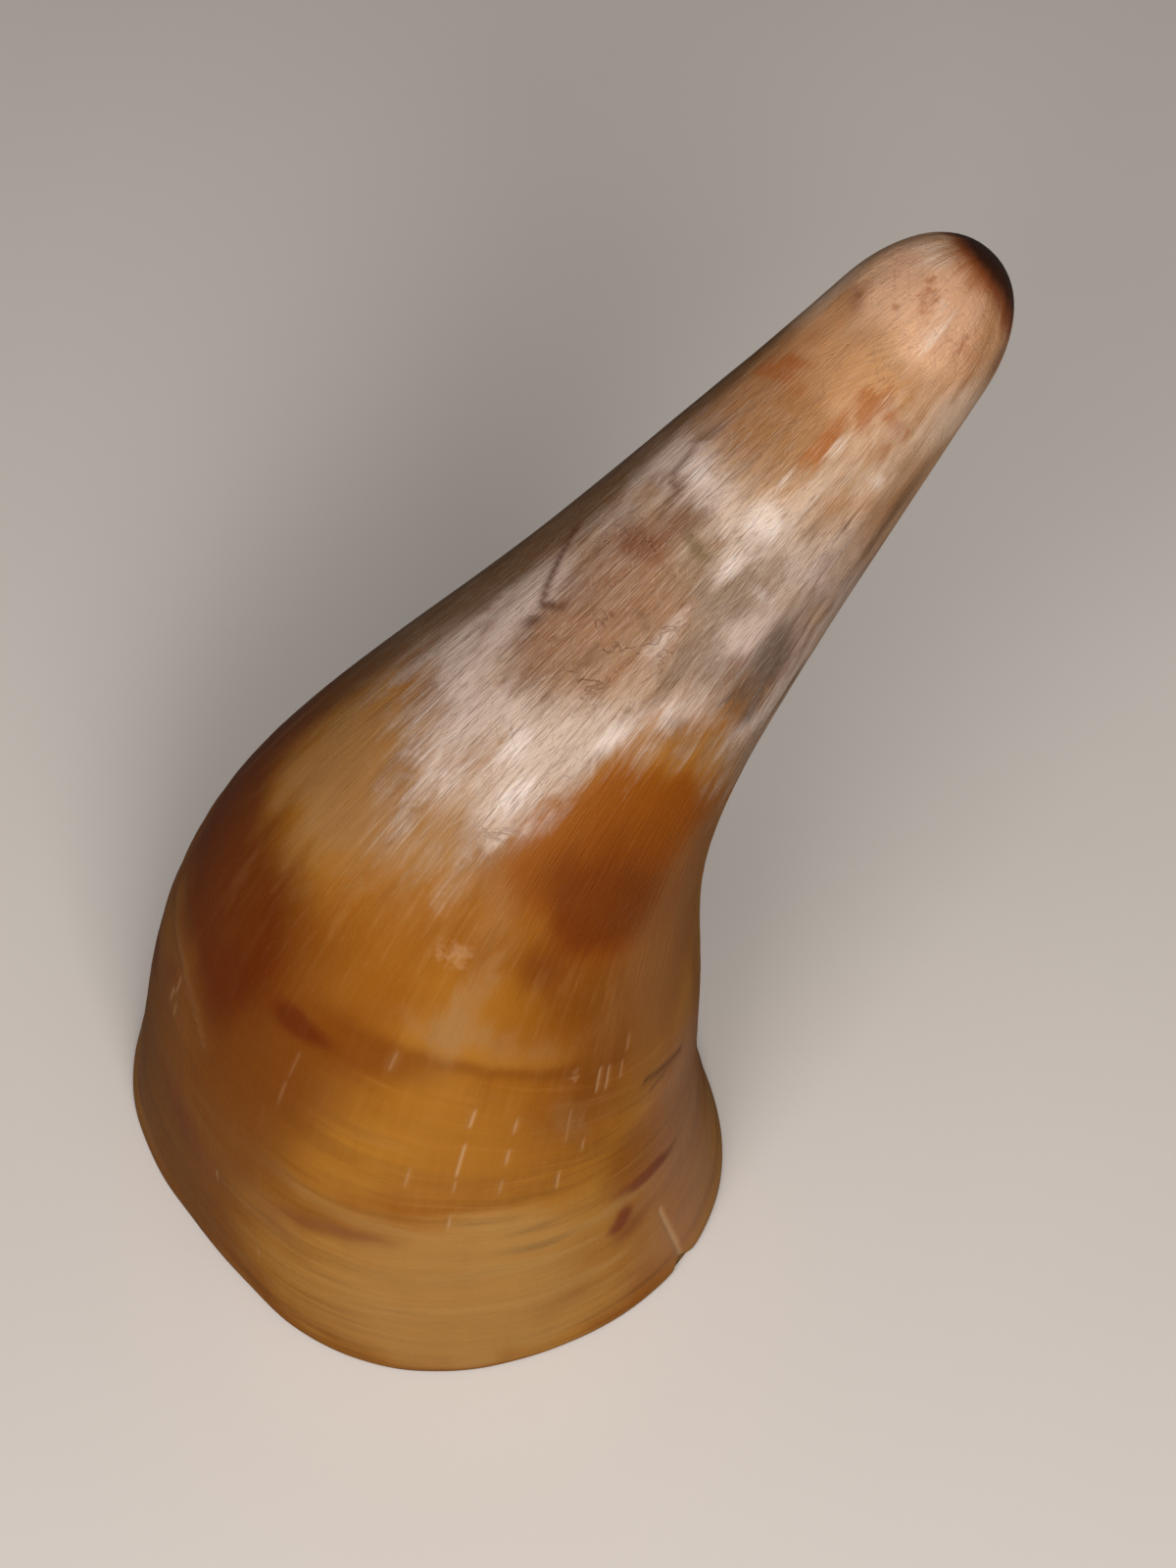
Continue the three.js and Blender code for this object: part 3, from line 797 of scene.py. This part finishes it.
# Bump: fibres and cracks, weak on the clear root, then blotches, scratches, growth bands and pits.
height = net.plus(net.times(fibres, 0.4), net.times(fine, 0.35))
height = net.minus(height, net.times(cracks, 0.6))
height = net.times(height, net.step(along, 60.0, 95.0, 0.25, 1.0))
height = net.plus(height, net.times(blotch, 0.3))
height = net.minus(height, net.times(scratches, 0.25))
height = net.plus(height, net.times(net.times(band_line, in_lines), 0.4))
pits = net.times(net.step(grit, 0.5, 0.7), net.step(along, 160.0, 172.0))
height = net.minus(height, net.times(pits, 0.2))
bump = net.node("ShaderNodeBump", "Normal", {"Height": height, "Strength": 0.65, "Distance": 0.0005})
net.put(net.surface.inputs["Normal"], bump)
mesh.materials.append(net.material)

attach(horn, "root")
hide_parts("horn")

# ---- floor ----
FLOOR_REACH = 2.5
floor_corners = [(x * FLOOR_REACH, y * FLOOR_REACH, 0) for x, y in ((-1, -1), (1, -1), (1, 1), (-1, 1))]
floor_mesh = bpy.data.meshes.new("floor")
floor_mesh.from_pydata(floor_corners, [], [(0, 1, 2, 3)])
floor = bpy.data.objects.new("floor", floor_mesh)
bpy.context.scene.collection.objects.link(floor)
ground = Net("floor_material")
floor_cloud = ground.noise(ground.node("ShaderNodeTexCoord", "Object", {}), 9.0, 5.0, 0.6)
floor_colour = ground.mix(floor_cloud, rgb(209, 202, 196), rgb(215, 208, 203))
ground.put(ground.surface.inputs["Base Color"], floor_colour)
ground.surface.inputs["Roughness"].default_value = 0.7
floor_mesh.materials.append(ground.material)
floor.visible_glossy = False

# ---- camera: looks down at 55 degrees, with 30 degrees across the picture's long side ----
VIEW_DOWN = radians(55)
LONG_FIELD = radians(30)
SENSOR_MM = 36.0
PICTURE_SIZE = (1200, 1600)
RIM_WIDTH = 95.0
RIM_WIDTH_PIXELS = 610.0
RIM_MIDDLE_PIXEL = (439, 1136)

# The rim's width in the picture gives how far off it is, and its middle where the camera stands.
focal_pixels = PICTURE_SIZE[1] / 2 / math.tan(LONG_FIELD / 2)
depth = focal_pixels * RIM_WIDTH / RIM_WIDTH_PIXELS
rim_x = (RIM_MIDDLE_PIXEL[0] - PICTURE_SIZE[0] / 2) / focal_pixels * depth
rim_y = (PICTURE_SIZE[1] / 2 - RIM_MIDDLE_PIXEL[1]) / focal_pixels * depth
view_right = np.array([1.0, 0.0, 0.0])
view_up = np.array([0.0, math.sin(VIEW_DOWN), math.cos(VIEW_DOWN)])
forward = np.array([0.0, math.cos(VIEW_DOWN), -math.sin(VIEW_DOWN)])
eye = -(rim_x * view_right + rim_y * view_up + depth * forward)
camera = bpy.data.cameras.new("camera")
camera.sensor_width = SENSOR_MM
camera.lens = SENSOR_MM / 2 / math.tan(LONG_FIELD / 2)
camera.clip_start = 0.01
viewer = bpy.data.objects.new("camera", camera)
viewer.location = (eye + shift) * MM
viewer.rotation_euler = (math.pi / 2 - VIEW_DOWN, 0.0, 0.0)
bpy.context.scene.collection.objects.link(viewer)
bpy.context.scene.camera = viewer

# ---- lights ----
LIGHTS_AIM = Vector((0, 0, 0.06))


def area_light(name, azimuth, elevation, distance, size, power, tint):
    """A square soft light aimed at the horn, in degrees, metres and watts. Azimuth 0 is the camera's
    side, and 90 is +X."""
    data = bpy.data.lights.new(name, "AREA")
    data.size = size
    data.energy = power
    data.color = tint
    lamp = bpy.data.objects.new(name, data)
    a, e = radians(azimuth), radians(elevation)
    direction = Vector((math.sin(a) * math.cos(e), -math.cos(a) * math.cos(e), math.sin(e)))
    lamp.location = LIGHTS_AIM + direction * distance
    lamp.rotation_euler = direction.to_track_quat("Z", "Y").to_euler()
    bpy.context.scene.collection.objects.link(lamp)
    return lamp


area_light("key", 12, 40, 0.8, 0.28, 3.6, (1.0, 0.98, 0.95))
area_light("fill", -28, 40, 0.8, 0.34, 1.95, (1.0, 0.99, 0.98))
overhead = area_light("overhead", 0, 64, 0.9, 0.9, 3.6, (1.0, 0.96, 0.91))
overhead.visible_glossy = False
world = bpy.data.worlds.new("room")
world.use_nodes = True
room_light = world.node_tree.nodes["Background"]
room_light.inputs["Color"].default_value = (1.0, 0.94, 0.88, 1.0)
room_light.inputs["Strength"].default_value = 0.07
bpy.context.scene.world = world
bpy.context.scene.view_settings.view_transform = "Standard"
